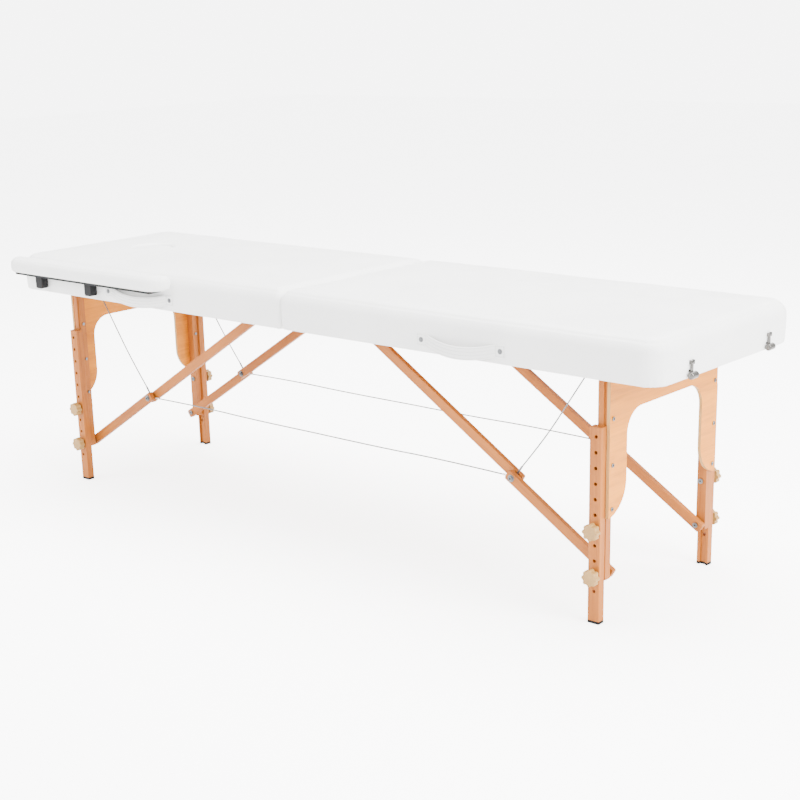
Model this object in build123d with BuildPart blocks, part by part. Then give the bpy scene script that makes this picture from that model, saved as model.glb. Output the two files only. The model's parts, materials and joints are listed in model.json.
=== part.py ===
"""Portable two-section massage table: padded top on a folding wooden underframe.

Millimetres. X runs along the table (head end at -X), Y across it (the side with the carry
handles at -Y), Z up. The origin is on the floor under the middle of the table.
"""
import os
from math import atan2, cos, degrees, hypot, radians, sin

from build123d import *

# ---------------------------------------------------------------- overall sizes
HALF_LENGTH = 975.0
HALF_WIDTH = 260.0
TOP_Z = 603.0
UNDERSIDE_Z = 512.0
FOLD_AXIS_Z = 511.0
SECTION_GAP = 1.5          # each section stops this far from the middle plane

# ---------------------------------------------------------------- padded section
SKIN = 2.0                 # vinyl with its backing
HEM = 1.5
DECK_BOTTOM = 558.0
DECK_TOP = 563.0
RAIL = 12.0
END_CORNER = 45.0
MID_CORNER = 12.0
TOP_ROUND = 20.0
RAIL_IN_Y = HALF_WIDTH - SKIN - RAIL
END_RAIL_X = 955.0
HINGE_RAIL_X = 24.0

FACE_HOLE_X = -735.0
FACE_HOLE_R = 55.0
PLUG_GAP = 0.5

# ---------------------------------------------------------------- folding legs
LEG_X = 818.0              # bolt line of the leg, measured along the table
LEG_PIVOT_Z = 535.5
EXT_OUT_Y, EXT_IN_Y = 222.5, 203.5
EXT_BACK, EXT_FRONT = 15.0, 12.0      # extension leg either side of the bolt line
EXT_TOP_Z = 409.0
GROOVE_DEPTH, GROOVE_W = 4.2, 13.6
POST_OUT_Y, POST_IN_Y = 203.1, 185.2
POST_BACK, POST_FRONT = 9.0, 13.0
TONGUE_W, TONGUE_Y = 13.0, 207.3
POST_BOTTOM_Z = 90.0
HOLE_PITCH = 32.0
LOWEST_HOLE_Z = 70.0
HOLE_COUNT = 11
LOWER_KNOB_Z = LOWEST_HOLE_Z + HOLE_PITCH
UPPER_KNOB_Z = LOWEST_HOLE_Z + 4 * HOLE_PITCH
BOLT_R = 3.0
HOLE_R = 3.9
FOOT_H = 6.0

PANEL_T = 7.0
PANEL_HALF_Y = 205.0
PANEL_TOP_Z = 527.0
PANEL_TIP_Z = 221.0
ARCH_TOP_Z = 430.0
ARCH_SIDE_Y = 143.0
ARCH_ROUND = 50.0
ARCH_FLARE = 70.0
ARCH_FLARE_Z = 290.0
PANEL_BOLT_Y = 194.0
PANEL_BOLT_ZS = (423.0, 329.0, 239.0)

# ---------------------------------------------------------------- folding braces
BRACE_TOP_X = 133.0
STRUT_W, STRUT_T = 22.0, 12.0
LOWER_OUT_Y, UPPER_OUT_Y = 180.7, 163.7
LOWER_IN_Y, UPPER_IN_Y = LOWER_OUT_Y - STRUT_T, UPPER_OUT_Y - STRUT_T
CABLE_Y = 166.2
LEG_REACH = LEG_PIVOT_Z - LOWER_KNOB_Z
SPAN = LEG_X - BRACE_TOP_X
DIAGONAL = hypot(LEG_REACH, SPAN)
LOWER_STRUT = (DIAGONAL - (SPAN - LEG_REACH)) / 2
UPPER_STRUT = DIAGONAL - LOWER_STRUT
BRACE_ANGLE = degrees(atan2(LEG_REACH, SPAN))
ELBOW_X = LEG_X - LOWER_STRUT * cos(radians(BRACE_ANGLE))
ELBOW_Z = LOWER_KNOB_Z + LOWER_STRUT * sin(radians(BRACE_ANGLE))

# ---------------------------------------------------------------- cables
CABLE_R = 1.5
CRIMP_R, CRIMP_L, CRIMP_START = 2.2, 24.0, 7.0
ANCHOR_X, ANCHOR_Z = 792.0, 546.0

# ---------------------------------------------------------------- small fittings
HINGE_YS = (-215.0, 215.0)
HINGE_HALF = 22.0
LATCH_YS = (-150.0, 150.0)
HANDLE_STUDS = {"head": (372.0, 603.0), "foot": (415.0, 618.0)}
HANDLE_Z = 541.0
HANDLE_SAG, HANDLE_BOW = 9.0, 15.0
HANDLE_W, HANDLE_T = 27.0, 2.6
ARM_X1, ARM_X2 = -962.0, -366.0
ARM_DEPTH = 54.0
ARM_BOTTOM_Z, ARM_TOP_Z = 566.0, 602.0
ARM_PEG_XS = (-862.0, -660.0)
ARM_PEG_Z = 540.0
ARM_PEG_R = 6.0
CRADLE_YS = (-105.0, 105.0)
CRADLE_Z = 536.0
CRADLE_R = 9.0

os.makedirs("parts", exist_ok=True)
SIDES = (("head", -1), ("foot", 1))
NEAR_FAR = (("near", -1), ("far", 1))


def save(item, label):
    """Names one sub-part and writes its file."""
    item.part.label = label
    export_step(item.part, f"parts/{label}.step")


def across(y, x=0.0, z=0.0):
    """A plane at y whose normal runs across the table, with its own x along the table."""
    return Plane(origin=(x, y, z), x_dir=(1, 0, 0), z_dir=(0, -1, 0))


def leaning(y, x, z, angle):
    """The same plane with its own x turned up from the table's x by an angle."""
    lean_dir = (cos(radians(angle)), 0, sin(radians(angle)))
    return Plane(origin=(x, y, z), x_dir=lean_dir, z_dir=(0, -1, 0))


def along(x, y=0.0, z=0.0):
    """A plane at x whose normal runs along the table, with its own x across it."""
    return Plane(origin=(x, y, z), x_dir=(0, 1, 0), z_dir=(1, 0, 0))


def cross_pin(radius, y_from, y_to, x, z, mode=Mode.ADD):
    """A round pin or bore across the table between two y values."""
    with Locations(Location((x, (y_from + y_to) / 2, z), (90, 0, 0))):
        Cylinder(radius, abs(y_to - y_from), mode=mode)


# ================================================================ padded sections
def outline(s, inset, corner, mid_corner, z):
    """The rounded plan of one section, drawn at height z."""
    length = HALF_LENGTH - SECTION_GAP - 2 * inset
    with BuildSketch(Plane.XY.offset(z)) as plan:
        with Locations((s * (HALF_LENGTH + SECTION_GAP) / 2, 0)):
            Rectangle(length, 2 * (HALF_WIDTH - inset))
        outer = plan.vertices().sort_by(Axis.X, reverse=s > 0)[:2]
        fillet(outer, corner)
        inner = plan.vertices().sort_by(Axis.X, reverse=s < 0)[:2]
        fillet(inner, mid_corner)
    return plan.sketch


def pad_body(s, inset, z_from, z_to, top_round):
    """A solid with the section's plan and a softly rounded top edge."""
    with BuildPart() as body:
        extrude(outline(s, inset, END_CORNER - inset, MID_CORNER - inset, z_from), z_to - z_from)
        fillet(body.faces().sort_by(Axis.Z)[-1].edges(), top_round)
    return body


def hinge_notches(s):
    """Room for the hinge barrels at the middle of the table."""
    for y in HINGE_YS:
        with Locations((s * 3, y, 514)):
            Box(6, 2 * HINGE_HALF + 6, 8, mode=Mode.SUBTRACT)


def side_bores(side_y, radius):
    """Socket bores for the armrest pegs through one long side."""
    y = side_y * (HALF_WIDTH + 5)
    for x in ARM_PEG_XS:
        cross_pin(radius, y, y - side_y * 30, x, ARM_PEG_Z, Mode.SUBTRACT)


def cradle_bores(radius):
    """Socket bores for a face cradle through the head end."""
    for y in CRADLE_YS:
        with Locations(Location((-HALF_LENGTH + 10, y, CRADLE_Z), (0, 90, 0))):
            Cylinder(radius, 50, mode=Mode.SUBTRACT)


for side, s in SIDES:
    core = pad_body(s, SKIN, UNDERSIDE_Z + HEM, TOP_Z - SKIN, TOP_ROUND - SKIN)
    shell = pad_body(s, 0, UNDERSIDE_Z, TOP_Z, TOP_ROUND)

    # vinyl cover: over the foam, down the sides, and turned under the rails as a hem
    with BuildPart() as cover:
        add(shell)
        add(core, mode=Mode.SUBTRACT)
        with BuildSketch(Plane.XY.offset(UNDERSIDE_Z - 1)):
            with Locations((s * (END_RAIL_X + 3.5) / 2, 0)):
                Rectangle(END_RAIL_X - 3.5, 2 * RAIL_IN_Y)
        extrude(amount=HEM + 1, mode=Mode.SUBTRACT)
        hinge_notches(s)
        if s < 0:
            with Locations((FACE_HOLE_X, 0, TOP_Z)):
                Cylinder(FACE_HOLE_R, 20, mode=Mode.SUBTRACT)
            for y_side in (-1, 1):
                side_bores(y_side, ARM_PEG_R + 1.5)
            cradle_bores(CRADLE_R + 1.5)
    save(cover, f"{side}_cover")

    with BuildPart() as foam:
        add(core)
        with Locations((s * HALF_LENGTH / 2, 0, DECK_TOP - 100)):
            Box(1200, 600, 200, mode=Mode.SUBTRACT)
        if s < 0:
            with Locations((FACE_HOLE_X, 0, TOP_Z)):
                Cylinder(FACE_HOLE_R, 120, mode=Mode.SUBTRACT)
    save(foam, f"{side}_foam")

    with BuildPart() as deck:
        deck_plan = outline(s, SKIN, END_CORNER - SKIN, MID_CORNER - SKIN, DECK_BOTTOM)
        extrude(deck_plan, DECK_TOP - DECK_BOTTOM)
        if s < 0:
            with Locations((FACE_HOLE_X, 0, TOP_Z)):
                Cylinder(FACE_HOLE_R, 120, mode=Mode.SUBTRACT)
    save(deck, f"{side}_deck")

    # perimeter frame under the deck, cut into side rails, end rail and hinge rail
    with BuildPart() as ring:
        ring_bottom = UNDERSIDE_Z + HEM
        ring_plan = outline(s, SKIN, END_CORNER - SKIN, MID_CORNER - SKIN, ring_bottom)
        extrude(ring_plan, DECK_BOTTOM - ring_bottom)
        with BuildSketch(Plane.XY.offset(UNDERSIDE_Z)) as inside:
            with Locations((s * (END_RAIL_X + HINGE_RAIL_X) / 2, 0)):
                Rectangle(END_RAIL_X - HINGE_RAIL_X, 2 * RAIL_IN_Y)
            fillet(inside.vertices().sort_by(Axis.X, reverse=s > 0)[:2], 30)
        extrude(amount=60, mode=Mode.SUBTRACT)
        hinge_notches(s)
        if s < 0:
            for y_side in (-1, 1):
                side_bores(y_side, ARM_PEG_R + 0.1)
            cradle_bores(CRADLE_R)

    with BuildPart() as rails:
        add(ring)
        for cut_x in (HINGE_RAIL_X, 920):
            with Locations((s * cut_x, 0, 530)):
                Box(0.1, 700, 120, mode=Mode.SUBTRACT)
    save(rails, f"{side}_frame_rails")

    # hardwood blocks that carry the leg pivots and the brace pivots
    with BuildPart() as pivot_blocks:
        for f in (-1, 1):
            with Locations((s * LEG_X, f * (RAIL_IN_Y + 209) / 2, 540)):
                Box(40, RAIL_IN_Y - 209, 36)
            with Locations((s * BRACE_TOP_X, f * 177, 540)):
                Box(48, 22, 36)
        fillet(pivot_blocks.edges().filter_by(Axis.Y).group_by(Axis.Z)[0], 6)
        cross_pin(4, -230, 230, s * LEG_X, LEG_PIVOT_Z, Mode.SUBTRACT)
        cross_pin(BOLT_R, -186, 186, s * BRACE_TOP_X, LEG_PIVOT_Z, Mode.SUBTRACT)
    save(pivot_blocks, f"{side}_pivot_blocks")

    # pivot bolts, cable anchors and handle rivets, all fixed to the section
    with BuildPart() as fittings:
        for f in (-1, 1):
            cross_pin(4, f * 184.9, f * 229.8, s * LEG_X, LEG_PIVOT_Z)
            cross_pin(7, f * 181.2, f * 184.9, s * LEG_X, LEG_PIVOT_Z)
            cross_pin(BOLT_R, f * 151.4, f * 185.8, s * BRACE_TOP_X, LEG_PIVOT_Z)
            cross_pin(5.5, f * 148.4, f * 151.4, s * BRACE_TOP_X, LEG_PIVOT_Z)
        # short cable anchors: a base plate on the deck with a lug and a crimp sleeve
        run_x, run_z = ANCHOR_X - ELBOW_X, ANCHOR_Z - ELBOW_Z
        run = hypot(run_x, run_z)
        for f in (-1, 1):
            with Locations((s * ANCHOR_X, f * CABLE_Y, 556.8)):
                Box(24, 16, 2.4)
            with Locations((s * ANCHOR_X, f * CABLE_Y, 551)):
                Box(8, 3, 12)
            end = Plane(
                origin=(s * ANCHOR_X, f * CABLE_Y, ANCHOR_Z),
                x_dir=(0, 1, 0),
                z_dir=(-s * run_x / run, 0, -run_z / run),
            )
            with BuildSketch(end):
                Circle(CRIMP_R)
            extrude(amount=20)
        studs = HANDLE_STUDS[side]
        stud_y = -HALF_WIDTH - 0.4 - HANDLE_T
        for x in studs:
            cross_pin(5.5, stud_y - 2.0, stud_y, s * x, HANDLE_Z)
            cross_pin(3.2, stud_y - 2.8, stud_y - 2.0, s * x, HANDLE_Z)
    save(fittings, f"{side}_section_fittings")

    # strap hinge leaves at the middle, each with one knuckle per hinge
    with BuildPart() as leaves:
        for y in HINGE_YS:
            knuckle_y = y + s * 15
            with Locations((s * 13.5, y, 512.75)):
                Box(17, 2 * HINGE_HALF, 1.5)
            with Locations((s * 3, knuckle_y, 512.75)):
                Box(6, 14, 1.5)
            cross_pin(4, knuckle_y - 7, knuckle_y + 7, 0, FOLD_AXIS_Z)
            cross_pin(1.55, knuckle_y - 9, knuckle_y + 9, 0, FOLD_AXIS_Z, Mode.SUBTRACT)
    save(leaves, f"{side}_hinge_leaves")

    # carry handle: a padded vinyl strap that bows out from the side and sags a little
    xa, xb = s * (studs[0] + 11), s * (studs[1] - 11)
    strap_y = -HALF_WIDTH - HANDLE_T / 2 - 0.4
    with BuildPart() as handle:
        with BuildLine() as path:
            ThreePointArc(
                (xa, strap_y, HANDLE_Z),
                ((xa + xb) / 2, strap_y - HANDLE_BOW, HANDLE_Z - HANDLE_SAG),
                (xb, strap_y, HANDLE_Z),
            )
        with BuildSketch(Plane(origin=path.line @ 0, x_dir=(0, 0, 1), z_dir=path.line % 0)):
            RectangleRounded(HANDLE_W, HANDLE_T, 1.0)
        sweep()
        for x in (xa, xb):
            with Locations((x - (8 if x == min(xa, xb) else -8), strap_y, HANDLE_Z)):
                Box(20, HANDLE_T, HANDLE_W - 1)
    save(handle, f"{side}_handle")


# ================================================================ middle fold pins
with BuildPart() as fold_pins:
    for y in HINGE_YS:
        cross_pin(1.5, y - 23, y + 23, 0, FOLD_AXIS_Z)
        cross_pin(4, y - 7.7, y + 7.7, 0, FOLD_AXIS_Z)
        cross_pin(2.6, y - 24.5, y - 23, 0, FOLD_AXIS_Z)
        cross_pin(2.6, y + 23, y + 24.5, 0, FOLD_AXIS_Z)
save(fold_pins, "fold_pins")


# ================================================================ leg frames
for side, s in SIDES:
    with BuildPart() as posts:
        for f in (-1, 1):
            with BuildSketch(Plane.XY.offset(POST_BOTTOM_Z)):
                with Locations((s * (LEG_X + (POST_FRONT - POST_BACK) / 2),
                                f * (POST_OUT_Y + POST_IN_Y) / 2)):
                    Rectangle(POST_FRONT + POST_BACK, POST_OUT_Y - POST_IN_Y)
                with Locations((s * LEG_X, f * (TONGUE_Y + POST_OUT_Y - 1) / 2)):
                    Rectangle(TONGUE_W, TONGUE_Y - POST_OUT_Y + 1)
            extrude(amount=LEG_PIVOT_Z + 8 - POST_BOTTOM_Z)
        cross_pin(4.05, -230, 230, s * LEG_X, LEG_PIVOT_Z, Mode.SUBTRACT)
        for z in (LOWER_KNOB_Z, UPPER_KNOB_Z):
            cross_pin(BOLT_R, -230, 230, s * LEG_X, z, Mode.SUBTRACT)
        for z in PANEL_BOLT_ZS:
            for f in (-1, 1):
                with BuildSketch(along(s * LEG_X, f * PANEL_BOLT_Y, z)):
                    Circle(2)
                extrude(amount=30, both=True, mode=Mode.SUBTRACT)
    save(posts, f"{side}_posts")

    panel_x = s * (LEG_X + POST_FRONT)
    with BuildPart() as arch_panel:
        with BuildSketch(along(panel_x)) as face:
            with BuildLine():
                top_l = (-PANEL_HALF_Y, PANEL_TOP_Z)
                top_r = (PANEL_HALF_Y, PANEL_TOP_Z)
                reach = ARCH_FLARE - (PANEL_HALF_Y - ARCH_SIDE_Y)
                tip_z = ARCH_FLARE_Z - (ARCH_FLARE**2 - reach**2) ** 0.5
                mid = 0.7071 * ARCH_FLARE
                Polyline((-PANEL_HALF_Y, tip_z), top_l, top_r, (PANEL_HALF_Y, tip_z))
                for f in (-1, 1):
                    side_y = f * ARCH_SIDE_Y
                    ThreePointArc(
                        (f * PANEL_HALF_Y, tip_z),
                        (f * (ARCH_SIDE_Y + ARCH_FLARE - mid), ARCH_FLARE_Z - mid),
                        (side_y, ARCH_FLARE_Z),
                    )
                    Line((side_y, ARCH_FLARE_Z), (side_y, ARCH_TOP_Z - ARCH_ROUND))
                    ThreePointArc(
                        (side_y, ARCH_TOP_Z - ARCH_ROUND),
                        (f * (ARCH_SIDE_Y - 0.2929 * ARCH_ROUND), ARCH_TOP_Z - 0.2929 * ARCH_ROUND),
                        (f * (ARCH_SIDE_Y - ARCH_ROUND), ARCH_TOP_Z),
                    )
                Line((-ARCH_SIDE_Y + ARCH_ROUND, ARCH_TOP_Z), (ARCH_SIDE_Y - ARCH_ROUND, ARCH_TOP_Z))
            make_face()
        extrude(amount=s * PANEL_T)
        for z in PANEL_BOLT_ZS:
            for f in (-1, 1):
                with BuildSketch(along(panel_x, f * PANEL_BOLT_Y, z)):
                    Circle(2)
                extrude(amount=30, both=True, mode=Mode.SUBTRACT)
    save(arch_panel, f"{side}_arch_panel")

    # round-headed bolts through panel and post, with nuts on the inner face
    with BuildPart() as leg_bolts:
        for z in PANEL_BOLT_ZS:
            for f in (-1, 1):
                with BuildSketch(along(s * (LEG_X + POST_FRONT + PANEL_T), f * PANEL_BOLT_Y, z)):
                    Circle(4.5)
                extrude(amount=s * 2.6)
                with BuildSketch(along(s * (LEG_X - POST_BACK - 3), f * PANEL_BOLT_Y, z)):
                    Circle(2)
                extrude(amount=s * (POST_FRONT + POST_BACK + PANEL_T + 3))
                with BuildSketch(along(s * (LEG_X - POST_BACK), f * PANEL_BOLT_Y, z)):
                    RegularPolygon(4, 6)
                extrude(amount=-s * 3)
        heads = leg_bolts.edges().filter_by(GeomType.CIRCLE).group_by(Axis.X)[-1 if s > 0 else 0]
        fillet(heads, 1.6)
        # knob bolts: head on the inner face, shank out through post and extension leg
        for f in (-1, 1):
            cross_pin(BOLT_R, f * (LOWER_IN_Y - 0.2), f * 238, s * LEG_X, LOWER_KNOB_Z)
            cross_pin(6, f * (LOWER_IN_Y - 3.5), f * (LOWER_IN_Y - 0.2), s * LEG_X, LOWER_KNOB_Z)
            cross_pin(7, f * (LOWER_OUT_Y + 0.2), f * (POST_IN_Y - 0.1), s * LEG_X, LOWER_KNOB_Z)
            cross_pin(BOLT_R, f * (POST_IN_Y - 0.1), f * 238, s * LEG_X, UPPER_KNOB_Z)
            cross_pin(6, f * (POST_IN_Y - 3.4), f * (POST_IN_Y - 0.1), s * LEG_X, UPPER_KNOB_Z)
    save(leg_bolts, f"{side}_leg_bolts")

    # braces: flat lower and upper struts that overlap side by side at the elbow
    for kind, out_y in (("lower", LOWER_OUT_Y), ("upper", UPPER_OUT_Y)):
        if kind == "lower":
            start, length, bores = 14.0, LOWER_STRUT, (BOLT_R + 0.05, BOLT_R)
            pivot_x, pivot_z = LEG_X, LOWER_KNOB_Z
            lean = 180 - BRACE_ANGLE
        else:
            start, length, bores = 14.0, UPPER_STRUT, (BOLT_R + 0.05, BOLT_R)
            pivot_x, pivot_z = BRACE_TOP_X, LEG_PIVOT_Z
            lean = -BRACE_ANGLE
        turn = lean if s > 0 else 180 - lean
        with BuildPart() as struts:
            for f in (-1, 1):
                y_face = out_y if f > 0 else -out_y + STRUT_T
                with BuildSketch(leaning(y_face, s * pivot_x, pivot_z, turn)) as strut_face:
                    with Locations((length / 2, 0)):
                        Rectangle(length + 2 * start, STRUT_W)
                    chamfer(strut_face.vertices(), 3)
                    with Locations((0, 0)):
                        Circle(bores[0], mode=Mode.SUBTRACT)
                    with Locations((length, 0)):
                        Circle(bores[1], mode=Mode.SUBTRACT)
                extrude(amount=STRUT_T)
        save(struts, f"{side}_{kind}_struts")

    # elbow bolt, parted in the gap between the struts: outer half and inner half
    with BuildPart() as elbow_outer:
        for f in (-1, 1):
            cross_pin(BOLT_R, f * (LOWER_IN_Y + 0.1), f * LOWER_OUT_Y, s * ELBOW_X, ELBOW_Z)
            cross_pin(8, f * LOWER_OUT_Y, f * (LOWER_OUT_Y + 1.2), s * ELBOW_X, ELBOW_Z)
            cross_pin(5, f * (LOWER_OUT_Y + 1.2), f * (LOWER_OUT_Y + 3.8), s * ELBOW_X, ELBOW_Z)
    save(elbow_outer, f"{side}_elbow_bolts_outer")


# ================================================================ steel cables
def cable_end(x, f, z, dx, dz, y_from, y_to):
    """An eye on the elbow bolt with a lug and a crimp sleeve pointing along (dx, dz)."""
    size = hypot(dx, dz)
    dx, dz = dx / size, dz / size
    low, high = sorted((f * y_from, f * y_to))
    cross_pin(6.5, low, high, x, z)
    lug = leaning(high, x, z, degrees(atan2(dz, dx)))
    with BuildSketch(lug) as tongue:
        with Locations((CRIMP_START, 0)):
            Rectangle(8, 3.6)
    extrude(tongue.sketch, amount=high - low)
    cross_pin(BOLT_R + 0.06, low - 1, high + 1, x, z, Mode.SUBTRACT)
    sleeve = Plane(
        origin=(x + dx * CRIMP_START, f * CABLE_Y, z + dz * CRIMP_START),
        x_dir=(0, 1, 0),
        z_dir=(dx, 0, dz),
    )
    with BuildSketch(sleeve) as tube:
        Circle(CRIMP_R)
    extrude(tube.sketch, amount=CRIMP_L)


def cable(points, y):
    """A round cable along straight runs joined by tangent bends."""
    route = [(x, y, z) for x, z in points]
    radii = []
    for a, b, c in zip(points, points[1:], points[2:]):
        before = atan2(b[1] - a[1], b[0] - a[0])
        after = atan2(c[1] - b[1], c[0] - b[0])
        half_turn = abs((after - before + radians(540)) % radians(360) - radians(180)) / 2
        shorter = min(hypot(b[0] - a[0], b[1] - a[1]), hypot(c[0] - b[0], c[1] - b[1]))
        radii.append(0.45 * shorter / abs(sin(half_turn) / cos(half_turn)))
    with BuildLine() as way:
        FilletPolyline(*route, radius=radii)
    with BuildSketch(Plane(origin=way.line @ 0, z_dir=way.line % 0)) as wire:
        Circle(CABLE_R)
    sweep(wire.sketch, path=way.line)


for side, s in SIDES:
    elbow = (s * ELBOW_X, ELBOW_Z)
    up_x, up_z = ANCHOR_X - ELBOW_X, ANCHOR_Z - ELBOW_Z
    size = hypot(up_x, up_z)
    ux, uz = up_x / size, up_z / size
    first = CRIMP_START + CRIMP_L + 0.3
    last = size - 20.3

    # inner half of the elbow bolt, with the eye of the short cable on it
    with BuildPart() as elbow_inner:
        for f in (-1, 1):
            cable_end(elbow[0], f, elbow[1], s * ux, uz, 163.9, 165.9)
            cross_pin(BOLT_R, f * UPPER_IN_Y, f * (LOWER_IN_Y - 0.3), s * ELBOW_X, ELBOW_Z)
            cross_pin(8, f * (UPPER_IN_Y - 1.2), f * UPPER_IN_Y, s * ELBOW_X, ELBOW_Z)
            cross_pin(5, f * (UPPER_IN_Y - 4.2), f * (UPPER_IN_Y - 1.2), s * ELBOW_X, ELBOW_Z)
    save(elbow_inner, f"{side}_elbow_bolts_inner")

    with BuildPart() as short_cables:
        for f in (-1, 1):
            route = [
                (s * (ELBOW_X + ux * first), ELBOW_Z + uz * first),
                (s * (ELBOW_X + ux * 120 + 5), ELBOW_Z + uz * 120 - 4),
                (s * (ELBOW_X + ux * 240 + 2), ELBOW_Z + uz * 240 - 2),
                (s * (ELBOW_X + ux * last), ELBOW_Z + uz * last),
            ]
            cable(route, f * CABLE_Y)
    save(short_cables, f"{side}_short_cables")

    with BuildPart() as long_ends:
        for f in (-1, 1):
            cable_end(elbow[0], f, elbow[1], -s, 0, 166.4, 168.2)
    save(long_ends, f"{side}_long_cable_ends")

    with BuildPart() as long_cables:
        for f in (-1, 1):
            route = [
                (s * (ELBOW_X - first), ELBOW_Z),
                (s * (ELBOW_X - 200), ELBOW_Z + 3),
                (s * (ELBOW_X - 380), ELBOW_Z - 1),
                (s * 0.2, ELBOW_Z),
            ]
            cable(route, f * CABLE_Y)
    save(long_cables, f"{side}_long_cables")


# ================================================================ extension legs
for side, s in SIDES:
    for name, f in NEAR_FAR:
        with BuildPart() as ext:
            with BuildSketch(Plane.XY.offset(FOOT_H)) as section:
                with Locations((s * (LEG_X + (EXT_FRONT - EXT_BACK) / 2), f * (EXT_OUT_Y + EXT_IN_Y) / 2)):
                    Rectangle(EXT_FRONT + EXT_BACK, EXT_OUT_Y - EXT_IN_Y)
                fillet(section.vertices(), 1.5)
                with Locations((s * LEG_X, f * (EXT_IN_Y + GROOVE_DEPTH / 2))):
                    Rectangle(GROOVE_W, GROOVE_DEPTH, mode=Mode.SUBTRACT)
            extrude(amount=EXT_TOP_Z - FOOT_H)
            for k in range(HOLE_COUNT):
                z = LOWEST_HOLE_Z + k * HOLE_PITCH
                cross_pin(HOLE_R, f * 195, f * 230, s * LEG_X, z, Mode.SUBTRACT)
        save(ext, f"{side}_{name}_extension")

        # rubber foot, cut to the leg's grooved section
        with BuildPart() as rubber:
            with BuildSketch(Plane.XY) as pad:
                with Locations((s * (LEG_X + (EXT_FRONT - EXT_BACK) / 2), f * (EXT_OUT_Y + EXT_IN_Y) / 2)):
                    Rectangle(EXT_FRONT + EXT_BACK + 1, EXT_OUT_Y - EXT_IN_Y + 0.6)
                fillet(pad.vertices(), 2.5)
                with Locations((s * LEG_X, f * (EXT_IN_Y + GROOVE_DEPTH / 2 - 0.3))):
                    Rectangle(GROOVE_W, GROOVE_DEPTH + 0.6, mode=Mode.SUBTRACT)
            extrude(amount=FOOT_H)
            chamfer(rubber.faces().sort_by(Axis.Z)[0].edges(), 0.8)
        save(rubber, f"{side}_{name}_rubber_foot")

        # lobed clamping knobs on the ends of the bolts
        for level, z in (("lower", LOWER_KNOB_Z), ("upper", UPPER_KNOB_Z)):
            with BuildPart() as knob:
                face_y = f * (EXT_OUT_Y + 0.5)
                lay = Plane(origin=(s * LEG_X, face_y, z), x_dir=(1, 0, 0), z_dir=(0, f, 0))
                with BuildSketch(lay.offset(5)) as grip:
                    Circle(15)
                    with PolarLocations(13.6, 8):
                        Circle(4.2)
                    fillet(grip.vertices(), 1.6)
                extrude(amount=15)
                fillet(knob.faces().sort_by(Axis.Y)[-1 if f > 0 else 0].edges(), 2.0)
                with BuildSketch(lay):
                    Circle(9)
                extrude(amount=6)
                cross_pin(BOLT_R + 0.05, face_y, f * 238.5, s * LEG_X, z, Mode.SUBTRACT)
            save(knob, f"{side}_{name}_{level}_knob")


# ================================================================ face-hole plug
with BuildPart() as plug:
    with Locations((FACE_HOLE_X, 0, (TOP_Z + DECK_BOTTOM) / 2)):
        Cylinder(FACE_HOLE_R - PLUG_GAP, TOP_Z - DECK_BOTTOM)
    fillet(plug.edges().group_by(Axis.Z)[-1], 6)
    fillet(plug.edges().group_by(Axis.Z)[0], 2)
save(plug, "face_hole_plug")


# ================================================================ side armrest
arm_out_y = -HALF_WIDTH - 0.8 - ARM_DEPTH
with BuildPart() as arm_pad:
    with BuildSketch(Plane.XY.offset(ARM_BOTTOM_Z)) as arm_plan:
        with Locations(((ARM_X1 + ARM_X2) / 2, -HALF_WIDTH - 0.8 - ARM_DEPTH / 2)):
            Rectangle(ARM_X2 - ARM_X1, ARM_DEPTH)
        fillet(arm_plan.vertices().sort_by(Axis.Y)[:2], 42)
        fillet(arm_plan.vertices().sort_by(Axis.Y)[-2:], 5)
    extrude(amount=ARM_TOP_Z - ARM_BOTTOM_Z)
    fillet(arm_pad.faces().sort_by(Axis.Z)[-1].edges(), 4.5)
    fillet(arm_pad.faces().sort_by(Axis.Z)[0].edges(), 3)
save(arm_pad, "armrest_pad")

# board under the pad, two drop blocks and the round pegs that enter the side rail
with BuildPart() as arm_frame:
    with Locations(((ARM_X1 + ARM_X2) / 2, -HALF_WIDTH - 5 - 20, ARM_BOTTOM_Z - 3)):
        Box(ARM_X2 - ARM_X1 - 60, 40, 6)
    for x in ARM_PEG_XS:
        with Locations((x, -HALF_WIDTH - 15, (ARM_PEG_Z - 14 + ARM_BOTTOM_Z - 6) / 2)):
            Box(26, 20, ARM_BOTTOM_Z - 6 - ARM_PEG_Z + 14)
    fillet(arm_frame.edges().filter_by(Axis.Y).group_by(Axis.Z)[0], 5)
    for x in ARM_PEG_XS:
        cross_pin(ARM_PEG_R, -RAIL_IN_Y - 0.5, -HALF_WIDTH - 10, x, ARM_PEG_Z)
save(arm_frame, "armrest_frame")


# ================================================================ suitcase latches
plate_x = HALF_LENGTH + 0.2
with BuildPart() as latch_bases:
    for y in LATCH_YS:
        with Locations((plate_x + 0.8, y, 541)):
            Box(1.6, 13, 28)
        for dy in (-5.2, 5.2):
            with Locations((plate_x + 4.5, y + dy, 546)):
                Box(7, 1.6, 8)
        cross_pin(1.5, y - 6, y + 6, plate_x + 5.5, 546)
save(latch_bases, "latch_bases")

# each lever carries a fat round roller that hooks over the other half's catch
for name, y in zip(("near", "far"), LATCH_YS):
    with BuildPart() as lever:
        cross_pin(7, y - 12, y + 12, plate_x + 8.5, 521)
        fillet(lever.edges().filter_by(GeomType.CIRCLE), 3.5)
        with Locations((plate_x + 5.5, y, 534)):
            Box(2.2, 7, 24)
        cross_pin(3, y - 3.5, y + 3.5, plate_x + 5.5, 546)
        cross_pin(1.56, y - 4, y + 4, plate_x + 5.5, 546, Mode.SUBTRACT)
    save(lever, f"{name}_latch_lever")

with BuildPart() as catches:
    for y in LATCH_YS:
        with Locations((-plate_x - 0.8, y, 530)):
            Box(1.6, 24, 28)
        with Locations((-plate_x - 3.2, y, 524)):
            Box(4, 12, 3)
        with Locations((-plate_x - 4.6, y, 526)):
            Box(1.8, 12, 7)
save(catches, "latch_catches")
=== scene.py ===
import json
from math import cos, hypot, pi, radians, sin

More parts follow.
